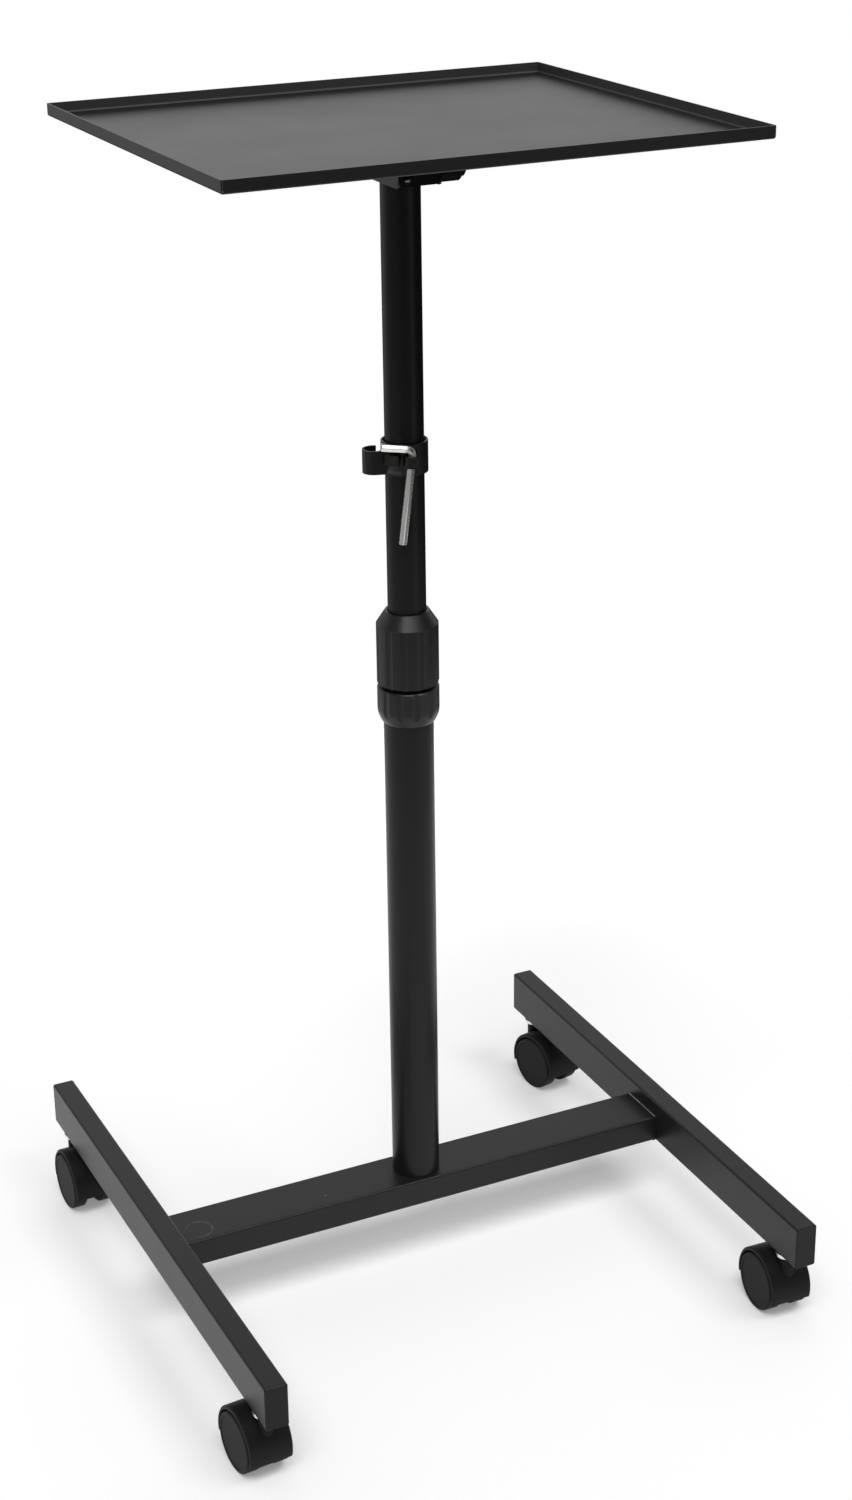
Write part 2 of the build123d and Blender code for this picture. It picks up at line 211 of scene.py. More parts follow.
def lay_floor():
    """A round pale floor that keeps the stand's shadow."""
    bpy.ops.object.select_all(action="DESELECT")
    bpy.ops.mesh.primitive_circle_add(vertices=FLOOR_SIDES, radius=FLOOR_RADIUS, fill_type="NGON")
    floor = bpy.context.object
    floor.name = "studio_floor"
    material = bpy.data.materials.new("pale floor")
    material.use_nodes = True
    tree = material.node_tree
    shader = tree.nodes["Principled BSDF"]
    shader.inputs["Base Color"].default_value = (FLOOR_GREY, FLOOR_GREY, FLOOR_GREY, 1.0)
    shader.inputs["Roughness"].default_value = 1.0
    shader.inputs["Specular IOR Level"].default_value = 0.0
    shader.inputs["Emission Strength"].default_value = 1.0
    eye = camera_rays(Wire(tree, shader.outputs[0]))
    seen = eye.maths("MINIMUM", eye + eye.twin("Is Glossy Ray") + eye.twin("Is Transmission Ray"), 1.0)
    _, depth, _ = axes_of(eye.node("ShaderNodeTexCoord", {}, {}, "Object"))
    glow = seen * (FLOOR_GLOW + BACK_GLOW * rise(depth, BACK_STARTS, BACK_FULL))
    tree.links.new(glow.socket, shader.inputs["Emission Color"])
    floor.data.materials.append(material)


lay_floor()
print("floor:", 2 * FLOOR_RADIUS, "m wide")

# %% [markdown]
# ## The room
# Black shows its surroundings more than its own colour, so the room matters: pale behind the stand,
# dark behind the camera. A pale panel at the front right and another at the left are seen only as
# reflections on the tray's edge and along the pole. Each part of the room is a patch of directions
# with soft edges, seen from the stand: side is to the right, depth is to the back, height is up. The
# camera itself sees plain white.

# %% Paint the room
ROOM_DARK = 0.12
ROOM_PALE = 0.80
HIGH_WALL_LOSS = 0.40
SWEEP_PALE = 0.55
LEFT_PANEL_PALE = 0.20
RIGHT_PANEL_PALE = 0.75
BACK_WALL = {"side": (-0.4, 0.0), "depth": (-0.3, 0.4), "height": (-0.05, 0.05)}
HIGH_WALL = {"height": (0.50, 0.60)}
SWEEP = {"side": (-0.1, -0.3), "depth": (0.3, 0.6), "height": (-0.45, -0.2)}
LEFT_PANEL = {"side": (-0.5, -0.85)}
RIGHT_PANEL = {"side": (0.3, 0.55), "depth": (-0.6, -0.8), "height": (0.2, 0.0)}
BLACK_SIDE = {"side": (0.3, 0.7)}


def patch(ways, edges):
    """1 inside one patch of the room, 0 outside, fading over the edges given for each way."""
    whole = 1.0
    for way, (outside, inside) in edges.items():
        whole = whole * rise(ways[way], outside, inside)
    return whole


def paint_room():
    """A room that is pale behind the stand, dark in front and to the right, white to the camera."""
    world = bpy.data.worlds.new("studio")
    world.use_nodes = True
    bpy.context.scene.world = world
    tree = world.node_tree
    background = tree.nodes["Background"]
    eye = camera_rays(Wire(tree, background.outputs[0]))
    direction = eye.node("ShaderNodeTexCoord", {}, {}, "Generated")
    ways = dict(zip(("side", "depth", "height"), axes_of(direction)))
    wall = ROOM_PALE * patch(ways, BACK_WALL) * (1.0 - HIGH_WALL_LOSS * patch(ways, HIGH_WALL))
    sweep = SWEEP_PALE * patch(ways, SWEEP)
    dark = ROOM_DARK * (1.0 - patch(ways, BLACK_SIDE))
    panels = LEFT_PANEL_PALE * patch(ways, LEFT_PANEL) + RIGHT_PANEL_PALE * patch(ways, RIGHT_PANEL)
    grey = dark + panels + wall.most(sweep)
    tree.links.new(grey.most(eye).socket, background.inputs["Color"])
    background.inputs["Strength"].default_value = 1.0


paint_room()
bpy.context.scene.view_settings.view_transform = "Standard"
print("room: wall", ROOM_PALE, "sweep", SWEEP_PALE, "dark", ROOM_DARK)

# %% [markdown]
# ## The lamps
# Two soft lamps hang in front of the stand, left and right, and a wider one between them gives the
# rounded plastic its soft highlights. A sun lamp lights everything from one direction, and its angle
# is how large the lamp looks from the stand, so a wide angle stands for a large soft box.

# %% Hang the lamps
LAMPS = {
    "left_lamp": ((-0.33, -0.42, 0.85), 0.65, 22.0),
    "right_lamp": ((0.33, -0.42, 0.85), 0.78, 22.0),
    "front_lamp": ((-0.168, -0.549, 0.819), 1.25, 44.0),
}


def hang_lamp(name, place, strength, width):
    """A soft lamp far off in the direction of a place, so many degrees wide, shining at the stand."""
    bpy.ops.object.light_add(type="SUN")
    lamp = bpy.context.object
    lamp.name = name
    lamp.data.energy = strength
    lamp.data.angle = math.radians(width)
    aim = (-Vector(place)).to_track_quat("-Z", "Y").to_matrix().to_4x4()
    lamp.matrix_world = Matrix.Translation(place) @ aim


for name, (place, strength, width) in LAMPS.items():
    hang_lamp(name, place, strength, width)
print("lamps:", ", ".join(LAMPS))

# %% [markdown]
# ## Powder coat
# The steel is black powder coat: a baked plastic skin, satin, with a very fine orange peel. The
# colour is nearly the same all over, so the life in it comes from a little unevenness in gloss and
# from the peel, which is a bump about a millimetre wide. Object coordinates keep the peel at its
# real size on every piece. Two masks can be given. Marks lay another colour over the coat: real wear
# on the beam, painted highlights on the end plates and the rivet, and a painted reflection in the
# tray. Matte makes the coat rougher and paints it a deeper black, as painted shade. Colours are
# blended by a Mix node, which has several sockets of one name, so its sockets go by number.

# %% Powder coat finish
BLACK_PAINT = (0.0070, 0.0070, 0.0072)
DUSTY_PAINT = (0.0115, 0.0115, 0.0116)
# The deeper black that the matte mask paints as shade.
SHADE_BLACK = (0.0025, 0.0025, 0.0026)
PEEL_LUMPS = 700.0
GRAIN_LUMPS = 2400.0
CLOUD_LUMPS = 9.0
PEEL_DEPTH = 0.00012
PEEL_STRENGTH = 0.35
PEEL_SHARE = 0.7
SATIN = 0.28
CLOUD_ROUGHER = 0.10
GRAIN_ROUGHER = 0.05
WEAR_AND_HIGHLIGHT_ROUGHER = 0.12
MATTE_ROUGHER = 0.55
FLAT_SHINE = 0.27
POLE_SHINE = 0.22
MIX_SHARE = 0
MIX_FIRST = 6
MIX_SECOND = 7
MIX_COLOUR = 2


def start_finish(name):
    """A new material, its shader node and the Object coordinates as a wire."""
    material = bpy.data.materials.new(name)
    material.use_nodes = True
    shader = material.node_tree.nodes["Principled BSDF"]
    start = Wire(material.node_tree, shader.outputs[0])
    return material, shader, start.node("ShaderNodeTexCoord", {}, {}, "Object")


def feed(shader, socket, wire):
    wire.tree.links.new(wire.socket, shader.inputs[socket])


def noise(place, scale, detail=2.0, roughness=0.5):
    """Soft noise between 0 and 1, with a scale in lumps per metre."""
    sockets = {"Vector": place, "Scale": scale, "Detail": detail, "Roughness": roughness}
    return place.node("ShaderNodeTexNoise", {}, sockets)


def blend_colours(share, first, second):
    """A colour that goes from the first to the second as the share goes from 0 to 1."""
    first, second = [c if isinstance(c, Wire) else (*c, 1.0) for c in (first, second)]
    sockets = {MIX_SHARE: share, MIX_FIRST: first, MIX_SECOND: second}
    return share.node("ShaderNodeMix", {"data_type": "RGBA"}, sockets, MIX_COLOUR)


def bump(height, strength, depth):
    """A normal that follows a height pattern, with its depth in metres."""
    sockets = {"Height": height, "Strength": strength, "Distance": depth}
    return height.node("ShaderNodeBump", {}, sockets)


def powder_coat(name, marks=None, matte=None, wear_and_highlight_paint=None, shine=FLAT_SHINE):
    """Satin black paint with a fine peel; marks give the beam's wear and painted highlights elsewhere,
    matte gives painted shade.
    """
    material, shader, place = start_finish(name)
    peel = noise(place, PEEL_LUMPS)
    grain = noise(place, GRAIN_LUMPS, detail=1.0)
    cloud = noise(place, CLOUD_LUMPS, detail=4.0, roughness=0.6)
    colour = blend_colours(cloud, BLACK_PAINT, DUSTY_PAINT)
    roughness = SATIN + CLOUD_ROUGHER * cloud + GRAIN_ROUGHER * grain
    # Marks lay their colour over the coat: real wear on the beam, painted highlights and a painted
    # reflection elsewhere.
    if marks is not None:
        wear_and_highlight = marks(place)
        colour = blend_colours(wear_and_highlight, colour, wear_and_highlight_paint)
        roughness = roughness + WEAR_AND_HIGHLIGHT_ROUGHER * wear_and_highlight
    # Matte makes the coat rougher and paints it a deeper black, as painted shade.
    if matte is not None:
        dull = matte(place)
        colour = blend_colours(dull, colour, SHADE_BLACK)
        roughness = roughness + MATTE_ROUGHER * dull
    feed(shader, "Base Color", colour)
    feed(shader, "Roughness", roughness)
    surface = PEEL_SHARE * peel + (1.0 - PEEL_SHARE) * grain
    feed(shader, "Normal", bump(surface, PEEL_STRENGTH, PEEL_DEPTH))
    shader.inputs["Specular IOR Level"].default_value = shine
    return material


print("powder coat: peel", 1000 * PEEL_DEPTH, "mm deep,", PEEL_LUMPS, "lumps in a metre")

# %% [markdown]
# ## A rubbed ring on the beam
# The beam's top carries a mark of use: a thin, broken ring is rubbed into the paint near the left
# rail, and there is one small chip nearer the pole. Both are masks on Object coordinates. The ring is
# every point whose distance from a centre is close to one radius, broken up by noise and faded out
# on its left, where the photograph shows none.

# %% Marks on the beam
RUBBED_PAINT = (0.090, 0.090, 0.090)
RING_SHARE = 0.60
RING_CENTRE = (-0.2130, -0.0080)
RING_RADIUS = 0.0118
RING_LINE = 0.0006
RING_LINE_FADE = (2.0 * RING_LINE, 0.5 * RING_LINE)
RING_KEPT_SIDE = (0.94, 0.34)
RING_KEPT_FADE = (-0.9 * RING_RADIUS, -0.2 * RING_RADIUS)
RING_FAINTEST = 0.25
RING_BREAKS = 180.0
RING_BREAK_FADE = (0.36, 0.62)
CHIP_CENTRE = (-0.0930, -0.0085)
CHIP_RADIUS = 0.0009
CHIP_FADE = (1.4 * CHIP_RADIUS, 0.7 * CHIP_RADIUS)
BEAM_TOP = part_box("cross_beam")[1].z
BEAM_SKIN = (0.0006, 0.0002)


def beam_marks(place):
    """1 on the chip and less on the rubbed ring on the beam's top, 0 elsewhere."""
    x, y, z = axes_of(place)
    ring_x, ring_y = x - RING_CENTRE[0], y - RING_CENTRE[1]
    off_line = abs(distance(ring_x, ring_y) - RING_RADIUS)
    line = rise(off_line, *RING_LINE_FADE)
    rightwards = RING_KEPT_SIDE[0] * ring_x + RING_KEPT_SIDE[1] * ring_y
    kept = rise(rightwards, *RING_KEPT_FADE)
    broken = rise(noise(place, RING_BREAKS), *RING_BREAK_FADE)
    ring = RING_SHARE * line * kept * (RING_FAINTEST + (1.0 - RING_FAINTEST) * broken)
    off_chip = distance(x - CHIP_CENTRE[0], y - CHIP_CENTRE[1])
    chip = rise(off_chip, *CHIP_FADE)
    return ring.most(chip) * rise(z, BEAM_TOP - BEAM_SKIN[0], BEAM_TOP - BEAM_SKIN[1])


print("marks: ring", round(2000 * RING_RADIUS, 1), "mm across, chip", round(2000 * CHIP_RADIUS, 1), "mm")

# %% [markdown]
# ## A painted highlight on the end plates
# A thin plate closes each end of the beam and stands half a millimetre proud of it. Its upper edge
# catches the light and shows as one light line across the beam, right beside the rail, and that line
# is a painted highlight. The mask is a stripe along the middle of that edge, a little uneven.

# %% Painted highlight on the plate edges
# A painted highlight: the light colour along the plates' upper edges.
PAINTED_EDGE_HIGHLIGHT = (0.24, 0.24, 0.235)
EDGE_STRIPE = 0.0007
EDGE_STRIPE_FADE = (1.2 * EDGE_STRIPE, 0.7 * EDGE_STRIPE)
EDGE_FAINTEST = 0.60
EDGE_BREAKS = 140.0
EDGE_BREAK_FADE = (0.40, 0.60)
plate_low, plate_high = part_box("right_end_plate")
PLATE_TOP = plate_high.z
PLATE_MIDDLE = (plate_low.x + plate_high.x) / 2
PLATE_SKIN = (0.0004, 0.0001)


def plate_edge_highlight(place):
    """1 on the painted highlight along an end plate's upper edge, 0 on the rest."""
    x, _, z = axes_of(place)
    stripe = rise(abs(abs(x) - PLATE_MIDDLE), *EDGE_STRIPE_FADE)
    broken = rise(noise(place, EDGE_BREAKS), *EDGE_BREAK_FADE)
    uneven_highlight = EDGE_FAINTEST + (1.0 - EDGE_FAINTEST) * broken
    return stripe * uneven_highlight * rise(z, PLATE_TOP - PLATE_SKIN[0], PLATE_TOP - PLATE_SKIN[1])


print("plate edges: at", round(PLATE_MIDDLE, 4), "m, stripe", round(2000 * EDGE_STRIPE, 1), "mm wide")

# %% [markdown]
# ## Painted shade on the bracket's lip
# The bracket's folded lip faces the camera but stays nearly black in the shade under the tray, while
# its side plate shines. That shade is painted: the same paint is made rougher and a deeper black by
# a mask on the lip's depth.

# %% Painted shade on the lip
LIP_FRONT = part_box("tray_bracket")[0].y
LIP_SHEET = 0.0015
LIP_BACK = LIP_FRONT + LIP_SHEET
LIP_FADE = 0.0003


# The lip's mask, where the paint is darkened as painted shade.
def lip_shade_mask(place):
    """1 on the lip in front of the bracket's side plates, 0 on the rest."""
    _, depth, _ = axes_of(place)
    return rise(depth, LIP_BACK, LIP_BACK - LIP_FADE)


print("lip: painted shade in front of", round(1000 * LIP_BACK, 2), "mm")

# %% [markdown]
# ## The inside of the tray's lip
# Inside the tray's low walls the coat is painted a shade greyer than on the floor between them, as a
# painted reflection, and lighter still along the fold, where a painted light line runs round the
# floor. The walls are every point that lies one sheet's thickness in from a wall's outer face, below
# the rim and above the floor, and the fold is the lowest part of them.

# %% Painted reflection in the tray walls
# A painted reflection: the grey painted onto the inside of the walls and their fold.
PAINTED_REFLECTION_GREY = (0.130, 0.130, 0.129)
WALL_SHARE = 0.28
WALL_FADE = (0.0004, 0.0002)
TRAY_SHEET = 0.0012
tray_low, tray_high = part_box("tray")
TRAY_FLOOR = tray_low.z + TRAY_SHEET
TRAY_RIM = tray_high.z
FLOOR_FADE = 0.0004
RIM_FADE = (0.0001, 0.0004)
FOLD_HEIGHT = 0.0011
FOLD_REACH = 0.0009


def wall_inside(across, half):
    """1 on the inner face of the two walls that stand at a half width, 0 elsewhere."""
    return rise(abs(half - TRAY_SHEET - abs(across)), *WALL_FADE)


def tray_wall_reflection(place):
    """1 on the fold inside the tray's walls, less on the walls, 0 on the floor, rim and outside."""
    x, y, z = axes_of(place)
    walls = wall_inside(x, tray_high.x).most(wall_inside(y, tray_high.y))
    above_floor = rise(z, TRAY_FLOOR, TRAY_FLOOR + FLOOR_FADE)
    below_rim = rise(z, TRAY_RIM - RIM_FADE[0], TRAY_RIM - RIM_FADE[1])
    fold = rise(abs(z - TRAY_FLOOR - FOLD_HEIGHT), FOLD_REACH, 0.5 * FOLD_REACH)
    return walls * above_floor * below_rim * (WALL_SHARE + (1.0 - WALL_SHARE) * fold)


print("tray walls: painted reflection from", round(TRAY_FLOOR, 4), "m to", round(TRAY_RIM, 4), "m")

# %% [markdown]
# ## Moulded plastic
# The collar, the end caps, the clip and the knob are moulded black plastic. A mould is given a
# fine sparked grain so that the part looks matte, and that grain is the only pattern here, with
# slight flow clouds that change the gloss.

# %% Plastic finish
MOULD_LUMPS = 3200.0
MOULD_STRENGTH = 0.3
MOULD_ROUGHER = 0.06
FLOW_LUMPS = 22.0
FLOW_ROUGHER = 0.08


def moulded_plastic(name, dark, light, roughness, shine, grain_depth):
    """Grained plastic: two close greys, a base roughness and the depth of the grain."""
    material, shader, place = start_finish(name)
    grain = noise(place, MOULD_LUMPS, roughness=0.6)
    flow = noise(place, FLOW_LUMPS, detail=3.0, roughness=0.55)
    feed(shader, "Base Color", blend_colours(flow, dark, light))
    feed(shader, "Roughness", roughness + FLOW_ROUGHER * flow + MOULD_ROUGHER * grain)
    feed(shader, "Normal", bump(grain, MOULD_STRENGTH, grain_depth))
    shader.inputs["Specular IOR Level"].default_value = shine
    return material


print("plastic: grain of", MOULD_LUMPS, "lumps in a metre")

# %% [markdown]
# ## Bright steel
# The hex key, the pivot bolt, the stems and the axles are plated steel. Plating follows the drawn
# wire under it, so the roughness has long fine streaks, made by stretching noise along one axis.

# %% Metal finish
STREAK_LUMPS = 2600.0
STREAK_STRETCH = (1.0, 1.0, 0.06)
STREAK_STRENGTH = 0.2
STREAK_DEPTH = 0.00004
STREAK_ROUGHER = 0.12
PLATING_LUMPS = 60.0
PLATING_ROUGHER = 0.06


def plated_steel(name, dull, bright, roughness):
    """Plated metal with faint drawing streaks along Z."""
    material, shader, place = start_finish(name)
    stretched = place.node("ShaderNodeMapping", {}, {"Vector": place, "Scale": STREAK_STRETCH})
    streak = noise(stretched, STREAK_LUMPS)
    cloud = noise(place, PLATING_LUMPS, detail=3.0)
    feed(shader, "Base Color", blend_colours(cloud, dull, bright))
    feed(shader, "Roughness", roughness + STREAK_ROUGHER * streak + PLATING_ROUGHER * cloud)
    feed(shader, "Normal", bump(streak, STREAK_STRENGTH, STREAK_DEPTH))
    shader.inputs["Metallic"].default_value = 1.0
    return material


print("plating: streaks", 1000 * STREAK_DEPTH, "mm deep")

# %% [markdown]
# ## The stand's finishes
# Five finishes cover most of the stand: powder coat, matte plastic, a nylon for the caster hoods,
# another for the wheels, and nickel plate. The end caps and the knob are moulded in a deeper black
# than the collar, so they get plastics of their own. Each finish is one call of a function above,
# which keeps their numbers side by side and easy to compare.

# %% Make the finishes
finishes = {
    "black_steel": powder_coat("satin black powder coat"),
    "black_plastic": moulded_plastic(
        "matte black plastic",
        dark=(0.0070, 0.0070, 0.0072),
        light=(0.0115, 0.0115, 0.0117),
        roughness=0.30,
        shine=0.38,
        grain_depth=0.00008,
    ),
    "caster_plastic": moulded_plastic(
        "caster hood nylon",
        dark=(0.0060, 0.0060, 0.0062),
        light=(0.0100, 0.0100, 0.0102),
        roughness=0.44,
        shine=0.14,
        grain_depth=0.00006,
    ),
    "wheel_plastic": moulded_plastic(
        "caster wheel nylon",
        dark=(0.0085, 0.0085, 0.0087),
        light=(0.0140, 0.0140, 0.0142),
        roughness=0.50,
        shine=0.12,
        grain_depth=0.00006,
    ),
    "bright_steel": plated_steel(
        "nickel plate", dull=(0.74, 0.73, 0.71), bright=(0.88, 0.87, 0.85), roughness=0.18
    ),
}
cap_black = moulded_plastic(
    "end cap plastic",
    dark=(0.0035, 0.0035, 0.0036),
    light=(0.0060, 0.0060, 0.0061),
    roughness=0.26,
    shine=0.22,
    grain_depth=0.00006,
)
knob_black = moulded_plastic(
    "knob plastic",
    dark=(0.0012, 0.0012, 0.0013),
    light=(0.0022, 0.0022, 0.0023),
    roughness=0.55,
    shine=0.03,
    grain_depth=0.00006,
)
print("finishes:", len(finishes), "for the slots:", ", ".join(finishes))

# %% [markdown]
# ## Finishes on the frame
# The record says which slot each node of the frame takes, so a loop can give every node its finish.
# A few nodes share a slot but not a look: the beam, its end plates, the bracket and the tray have
# marks of their own, the pole is less shiny than the flat steel, and the caps and the knob are
# darker. These are named apart, and the loop looks there first.

# %% Assign the finishes
pole_coat = powder_coat("pole powder coat", shine=POLE_SHINE)
# The end plates carry a painted highlight along their upper edges.
highlighted_plate_coat = powder_coat("end plate powder coat with painted highlight", marks=plate_edge_highlight, wear_and_highlight_paint=PAINTED_EDGE_HIGHLIGHT)
own_finish = {
    "cross_beam": powder_coat("marked black powder coat", marks=beam_marks, wear_and_highlight_paint=RUBBED_PAINT),
    # The bracket's lip is painted a deeper black as shade under the tray.
    "tray_bracket": powder_coat("bracket powder coat with painted shade", matte=lip_shade_mask),
    # The tray's walls carry a painted reflection.
    "tray": powder_coat("tray powder coat with painted reflection", marks=tray_wall_reflection, wear_and_highlight_paint=PAINTED_REFLECTION_GREY),
    "tilt_knob": knob_black,
    "lower_tube": pole_coat,
    "upper_tube": pole_coat,
    "left_end_plate": highlighted_plate_coat,
    "right_end_plate": highlighted_plate_coat,
}
for end in ("left_front", "left_back", "right_front", "right_back"):
    own_finish[end + "_cap"] = cap_black

for row in frame["record"]["subparts"]:
    node = frame["nodes"][row["node"]]
    node.data.materials.clear()
    node.data.materials.append(own_finish.get(row["node"], finishes[row["material_slot"]]))

# %% [markdown]
# ## Clean meshes
# Three small pieces are modelled in this file, and each is closed in the same way. Its place
# and turn are applied to the mesh, so that the object sits at the origin and patterns on Object
# coordinates keep their size. Doubles are merged and the faces are turned outwards, because
# extruding, spinning and cutting can leave double points and inward faces. Operators act on what is
# selected and active, so every helper first makes its piece the only one.

# %% Helpers for pieces
SMOOTH_ANGLE = math.radians(35.0)
DOUBLES = 1e-6


def make_active(piece):
    """Selects one piece alone, so that the next operator acts on nothing else."""
    bpy.ops.object.select_all(action="DESELECT")
    piece.select_set(True)
    bpy.context.view_layer.objects.active = piece


def apply_place(piece):
    """Puts a piece's place, turn and size into its mesh, so that the object sits at the origin."""
    make_active(piece)
    bpy.ops.object.transform_apply(location=True, rotation=True, scale=True)


def apply_modifier(piece, modifier):
    """Turns what a modifier does into the piece's own mesh."""
    make_active(piece)
    bpy.ops.object.modifier_apply(modifier=modifier.name)


def close_mesh(piece):
    """Merges doubles, turns the faces outwards and smooths what is meant to be round."""
    make_active(piece)
    bpy.ops.object.mode_set(mode="EDIT")
    bpy.ops.mesh.select_all(action="SELECT")
    bpy.ops.mesh.remove_doubles(threshold=DOUBLES)
    bpy.ops.mesh.normals_make_consistent(inside=False)
    bpy.ops.object.mode_set(mode="OBJECT")
    bpy.ops.object.shade_smooth_by_angle(angle=SMOOTH_ANGLE)


def round_edges(piece, width, steps, angle):
    """Bevels every edge that is sharper than an angle, and applies the modifier."""
    rounding = piece.modifiers.new("round edges", "BEVEL")
    rounding.width = width
    rounding.segments = steps
    rounding.limit_method = "ANGLE"
    rounding.angle_limit = angle
    apply_modifier(piece, rounding)


print("helpers: smooth below", round(math.degrees(SMOOTH_ANGLE)), "degrees")

# %% [markdown]
# ## The hex key
# A hex key is hexagonal wire, cut square, with one end bent round a small radius. It is made here in
# the same order. A six sided circle is the wire's section, extruding it draws the short arm, a spin
# is the bend, and a second extrude draws the long arm. A bevel takes the sharpness off the edges,
# because real wire edges are drawn slightly round and it is these edges that carry the thin bright
# lines. The key is modelled upright at the origin, leaned and turned into its clip, and its place is
# then applied to the mesh. It takes the place of the frame's plain key.

# %% Bend the hex key
KEY_FLATS = 0.0060
KEY_SHORT_ARM = 0.026
KEY_LONG_ARM = 0.079
KEY_BEND = 0.006
KEY_BEND_STEPS = 10
KEY_EDGE = 0.0003
KEY_EDGE_STEPS = 2
KEY_EDGE_ANGLE = math.radians(40.0)
KEY_LEAN = math.radians(7.0)
KEY_PLACE = (0.0025, -0.0242, 0.7605)
CLIP_TURN = math.radians(-16.0)


def bend_hex_key():
    """Draws and bends the hexagonal wire, rounds its edges and puts it into the clip."""
    bpy.ops.object.select_all(action="DESELECT")
    bpy.ops.mesh.primitive_circle_add(
        vertices=6,
        radius=KEY_FLATS / math.sqrt(3),
        fill_type="NGON",
        location=(-KEY_SHORT_ARM, 0.0, KEY_BEND),
        rotation=(0.0, math.pi / 2, math.pi),
    )
    key = bpy.context.object
    key.name = "bent_hex_key"
    apply_place(key)
    bpy.ops.object.mode_set(mode="EDIT")
    bpy.ops.mesh.select_all(action="SELECT")
    draw_short = {"value": (KEY_SHORT_ARM - KEY_BEND, 0.0, 0.0)}
    bpy.ops.mesh.extrude_region_move(TRANSFORM_OT_translate=draw_short)
    bend_centre = (-KEY_BEND, 0.0, 0.0)
    bpy.ops.mesh.spin(
        steps=KEY_BEND_STEPS, angle=-math.pi / 2, center=bend_centre, axis=(0.0, 1.0, 0.0)
    )
    draw_long = {"value": (0.0, 0.0, KEY_BEND - KEY_LONG_ARM)}
    bpy.ops.mesh.extrude_region_move(TRANSFORM_OT_translate=draw_long)
    bpy.ops.object.mode_set(mode="OBJECT")
    close_mesh(key)
    round_edges(key, KEY_EDGE, KEY_EDGE_STEPS, KEY_EDGE_ANGLE)
    lean = Matrix.Rotation(KEY_LEAN, 4, "Y")
    turn = Matrix.Rotation(CLIP_TURN, 4, "Z")
    key.matrix_world = turn @ Matrix.Translation(KEY_PLACE) @ lean
    apply_place(key)
    return key


hex_key = bend_hex_key()
hex_key.data.materials.append(finishes["bright_steel"])
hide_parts("hex_key")
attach(hex_key, "mast")
key_low, key_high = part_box("hex_key")
corners = [vertex.co for vertex in hex_key.data.vertices]
print("key in the frame:", [round(v, 4) for v in key_low], [round(v, 4) for v in key_high])
print("key as modelled:", [round(min(c[i] for c in corners), 4) for i in range(3)],
      [round(max(c[i] for c in corners), 4) for i in range(3)], len(hex_key.data.polygons), "faces")

# %% [markdown]
# ## The clip's thin rims
# The clip is one moulding that grips the pole, carries the key and has a cable hook at its side. A
# mould maker relieves such a ring at its mouth, so that only a band in the middle grips and a thin
# rim is left, and that rim is the light line seen along its top. A Boolean modifier with a short
# cylinder makes such a relief, as a lathe would. It leaves long thin faces on the flat top, and these
# shade badly beside round edges, so the normals are weighted by the area of the faces.

# %% Helpers for cutting
CUT_SIDES = 96
CUT_CLEAR = 0.001
AREA_WEIGHT = 100


def shallow_cutter(radius, top, depth, place):
    """A round cutter that reaches from just above a rim down to the relief's floor."""
    bpy.ops.object.select_all(action="DESELECT")
    middle = (top + CUT_CLEAR + top - depth) / 2
    bpy.ops.mesh.primitive_cylinder_add(
        vertices=CUT_SIDES, radius=radius, depth=depth + CUT_CLEAR, location=(*place, middle)
    )
    cutter = bpy.context.object
    apply_place(cutter)
    return cutter


def cut_away(piece, cutter):
    """Subtracts the cutter from a piece, applies that and deletes the cutter."""
    cut = piece.modifiers.new("relief", "BOOLEAN")
    cut.operation = "DIFFERENCE"
    cut.solver = "EXACT"
    cut.object = cutter
    apply_modifier(piece, cut)
    bpy.data.objects.remove(cutter)


def weigh_normals(piece):
    """Lets the large flat faces set the shading, so that they stay flat beside their round edges."""
    weighing = piece.modifiers.new("flat faces", "WEIGHTED_NORMAL")
    weighing.keep_sharp = True
    weighing.weight = AREA_WEIGHT
    apply_modifier(piece, weighing)


print("cutters:", CUT_SIDES, "sides")

# %% [markdown]
# ## Relieving the clip
# The frame's clip has the right outline but a full wall, so a copy of it is merged into one skin and
# two shallow bores are cut away: one round the pole, and one in the hook. The second cutter is
# bisected first, because a full cylinder there would also bite into the ring. A limited dissolve
# then joins what still lies in one plane. Boxes are measured in single precision, so the clip's
# height is rounded before it places a cutter.

# %% Relieve the clip
CLIP_TOP = round(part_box("key_clip")[1].z, 6)
RIM_RADIUS = 0.0177
RIM_DEPTH = 0.0035
HOOK_DROP = 0.0065
HOOK_PLACE = (-0.025, 0.0)
HOOK_RIM_RADIUS = 0.0081
HOOK_MOUTH = 0.0030
FLAT_ANGLE = math.radians(0.5)


def hook_cutter():
    """The relief in the hook, cut off at the hook's mouth and turned to the hook's place."""
    cutter = shallow_cutter(HOOK_RIM_RADIUS, CLIP_TOP - HOOK_DROP, RIM_DEPTH, HOOK_PLACE)
    bpy.ops.object.mode_set(mode="EDIT")
    bpy.ops.mesh.select_all(action="SELECT")
    mouth = (HOOK_PLACE[0] + HOOK_MOUTH, 0.0, 0.0)
    bpy.ops.mesh.bisect(plane_co=mouth, plane_no=(1.0, 0.0, 0.0), use_fill=True, clear_outer=True)
    bpy.ops.object.mode_set(mode="OBJECT")
    cutter.matrix_world = Matrix.Rotation(CLIP_TURN, 4, "Z")
    apply_place(cutter)
    return cutter


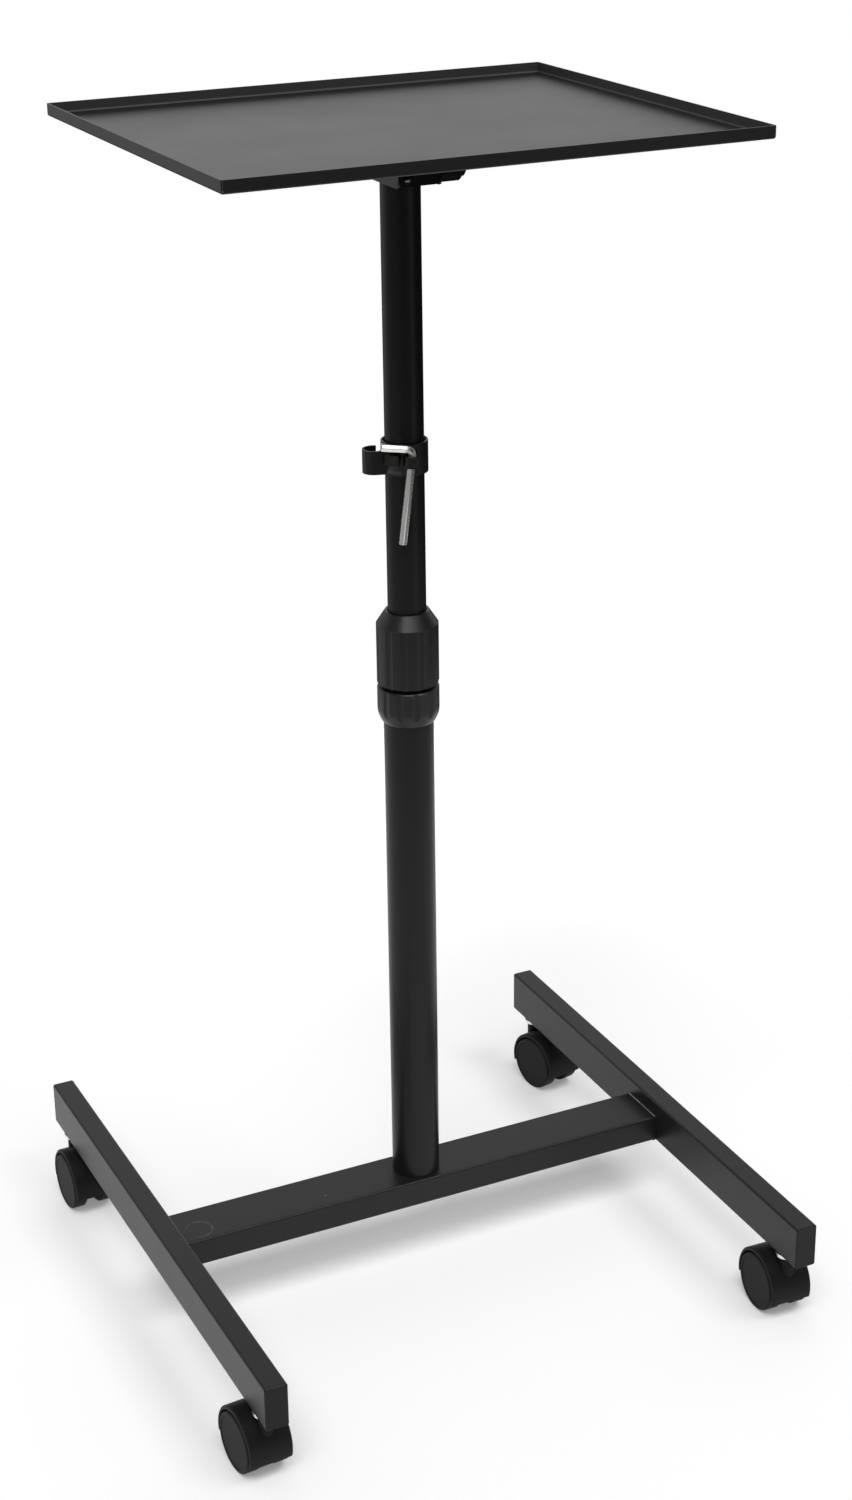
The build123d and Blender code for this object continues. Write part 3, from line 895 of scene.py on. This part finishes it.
def relieve_clip():
    """Copies the frame's clip as one skin and cuts both reliefs into it."""
    clip = frame["nodes"]["key_clip"].copy()
    clip.data = frame["nodes"]["key_clip"].data.copy()
    clip.name = "pole_clip"
    bpy.context.scene.collection.objects.link(clip)
    clip.parent = None
    clip.matrix_world = Matrix.Identity(4)
    close_mesh(clip)
    cut_away(clip, shallow_cutter(RIM_RADIUS, CLIP_TOP, RIM_DEPTH, (0.0, 0.0)))
    cut_away(clip, hook_cutter())
    bpy.ops.object.mode_set(mode="EDIT")
    bpy.ops.mesh.select_all(action="SELECT")
    bpy.ops.mesh.dissolve_limited(angle_limit=FLAT_ANGLE)
    bpy.ops.object.mode_set(mode="OBJECT")
    close_mesh(clip)
    weigh_normals(clip)
    return clip


clip = relieve_clip()
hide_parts("key_clip")
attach(clip, "mast")
print("clip:", len(clip.data.polygons), "faces")

# %% [markdown]
# ## A rivet in the bracket's lip
# One small domed head shows on the folded lip under the tray, mostly as a spark of light on its
# crown. It is coated black like the bracket, and the spark is a painted highlight: the same powder
# coat with a light colour in a mask shaped like a flat ellipse around the rivet's middle, and painted
# shade outside it, where the coat is dull and a deeper black.

# %% Rivet finish
RIVET_X = -0.0118
RIVET_Z = 0.9812
CROWN_WIDTH = 0.0026
CROWN_HEIGHT = 0.0010
CROWN_FADE = (1.15, 0.75)
# A painted highlight: the light colour on the rivet's crown.
PAINTED_CROWN_HIGHLIGHT = (0.50, 0.50, 0.49)


def rivet_crown_highlight(place):
    """1 on the painted highlight on the rivet's crown, 0 on the rest."""
    x, _, z = axes_of(place)
    across, up = (x - RIVET_X) * (1.0 / CROWN_WIDTH), (z - RIVET_Z) * (1.0 / CROWN_HEIGHT)
    return rise(distance(across, up), *CROWN_FADE)


def rivet_shade(place):
    """1 where the rivet is painted dull and a deeper black as shade, 0 on the crown."""
    return 1.0 - rivet_crown_highlight(place)


# The rivet's finish paints a highlight on its crown and shade around it.
rivet_highlight_coat = powder_coat(
    "black rivet with painted highlight and shade", marks=rivet_crown_highlight, matte=rivet_shade, wear_and_highlight_paint=PAINTED_CROWN_HIGHLIGHT
)
print("rivet crown:", round(2000 * CROWN_WIDTH, 1), "by", round(2000 * CROWN_HEIGHT, 1), "mm")

# %% [markdown]
# ## Pressing the rivet
# A rivet's head is a short cylinder that is pressed into a dome. Only the front face of the cylinder
# is selected and its rim is bevelled in several steps, which keeps a small flat crown in the middle.
# The back sits a little inside the lip, so no gap shows.

# %% Press the rivet
RIVET_SIDES = 30
RIVET_RADIUS = 0.0030
RIVET_HEIGHT = 0.0021
RIVET_SEAT = 0.0003
DOME_WIDTH = 0.0017
DOME_STEPS = 6
FACING_FRONT = -0.999


def press_rivet():
    """Makes the domed head on the lip's front face."""
    bpy.ops.object.select_all(action="DESELECT")
    bpy.ops.mesh.primitive_cylinder_add(
        vertices=RIVET_SIDES,
        radius=RIVET_RADIUS,
        depth=RIVET_HEIGHT,
        location=(RIVET_X, LIP_FRONT + RIVET_SEAT - RIVET_HEIGHT / 2, RIVET_Z),
        rotation=(math.pi / 2, 0.0, 0.0),
    )
    rivet = bpy.context.object
    rivet.name = "lip_rivet"
    apply_place(rivet)
    bpy.ops.object.mode_set(mode="EDIT")
    bpy.ops.mesh.select_mode(type="FACE")
    bpy.ops.mesh.select_all(action="DESELECT")
    bpy.ops.object.mode_set(mode="OBJECT")
    for face in rivet.data.polygons:
        face.select = face.normal.y < FACING_FRONT
    bpy.ops.object.mode_set(mode="EDIT")
    bpy.ops.mesh.bevel(offset=DOME_WIDTH, segments=DOME_STEPS, affect="EDGES")
    bpy.ops.object.mode_set(mode="OBJECT")
    close_mesh(rivet)
    return rivet


rivet = press_rivet()
# The rivet takes the finish with the painted highlight and painted shade.
rivet.data.materials.append(rivet_highlight_coat)
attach(rivet, "tray_head")
print("rivet:", len(rivet.data.polygons), "faces")
